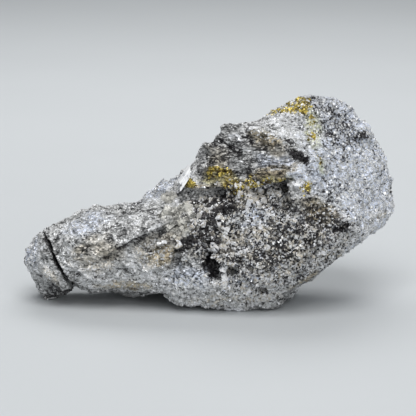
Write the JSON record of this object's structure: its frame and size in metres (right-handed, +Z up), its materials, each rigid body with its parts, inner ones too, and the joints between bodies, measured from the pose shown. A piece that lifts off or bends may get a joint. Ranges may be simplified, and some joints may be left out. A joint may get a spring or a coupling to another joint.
{
  "type": "skutterudite specimen",
  "caption": "Rough broken lump of massive grey metallic ore, thick head at one end and a cracked tail at the other, with crystals set in its open middle; rests flat.",
  "frame": {"origin": "middle of the lump's box, on the plane it rests on", "axes": "+X from the thin cracked end to the thick head, +Y to the back, +Z up"},
  "size_m": [0.1132, 0.0554, 0.0634],
  "materials": {
    "ore": "satin",
    "calcite": "satin",
    "chalcopyrite": "satin",
    "dark_crystal": "gloss"
  },
  "bodies": {
    "root": {"skutterudite_specimen": "ore"}
  },
  "joints": []
}
